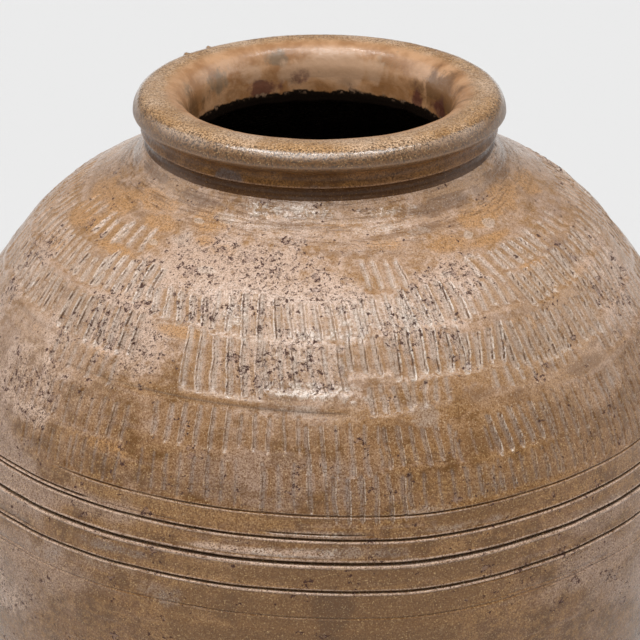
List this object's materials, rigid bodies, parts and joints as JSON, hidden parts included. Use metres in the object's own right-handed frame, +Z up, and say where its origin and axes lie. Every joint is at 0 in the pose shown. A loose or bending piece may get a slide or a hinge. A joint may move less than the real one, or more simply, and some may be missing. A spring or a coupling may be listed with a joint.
{
  "type": "pickling pot",
  "caption": "Wide-shouldered stoneware pickling pot with a thick rolled rim, a short ridged collar, a narrow mouth and rings cut round the girth.",
  "frame": {"origin": "middle of the flat underside, on the pot's upright axis", "axes": "+Z up along the axis the pot is turned round; -Y is the side that the picture shows"},
  "size_m": [0.3968, 0.3968, 0.43],
  "materials": {
    "bare_clay": "bare fired stoneware, matte and gritty",
    "body_glaze": "thin olive-brown ash glaze with fine speckle and blue-grey stains, satin",
    "shoulder_glaze": "thin ochre and pinkish beige ash glaze, pitted, satin",
    "collar_glaze": "dark brown ash glaze, satin",
    "rim_glaze": "golden ochre ash glaze with dark granular speckle, satin"
  },
  "bodies": {
    "root": {"base_slab": "bare_clay", "foot_wall_course": "body_glaze", "lower_belly_course": "body_glaze", "upper_belly_course": "body_glaze", "ringed_girth_course": "body_glaze", "lower_shoulder_course": "body_glaze", "upper_shoulder_course": "shoulder_glaze", "neck_collar": "collar_glaze", "rolled_rim": "rim_glaze"}
  },
  "joints": []
}
